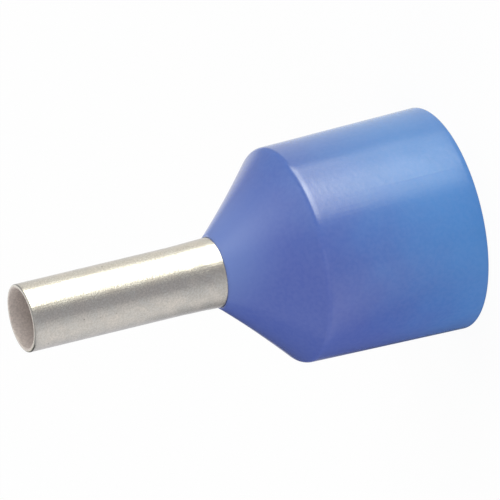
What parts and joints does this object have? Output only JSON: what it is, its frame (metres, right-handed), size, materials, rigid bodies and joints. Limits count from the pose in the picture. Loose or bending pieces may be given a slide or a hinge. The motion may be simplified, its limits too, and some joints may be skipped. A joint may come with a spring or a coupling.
{
  "type": "wire ferrule",
  "caption": "Insulated wire ferrule: a thin tinned-metal sleeve for a stripped stranded conductor, with a wide blue plastic funnel collar that takes the cable's insulation.",
  "frame": {"origin": "centre of the collar's open mouth, in the plane of its rim", "axes": "+Z along the ferrule's axis, from the collar's mouth to the tip of the metal sleeve; the ferrule is round about Z"},
  "size_m": [0.0088, 0.0088, 0.0176],
  "materials": {
    "tinned_copper": "satin",
    "blue_plastic": "satin"
  },
  "bodies": {
    "root": {"metal_sleeve": "tinned_copper", "insulating_collar": "blue_plastic"}
  },
  "joints": []
}
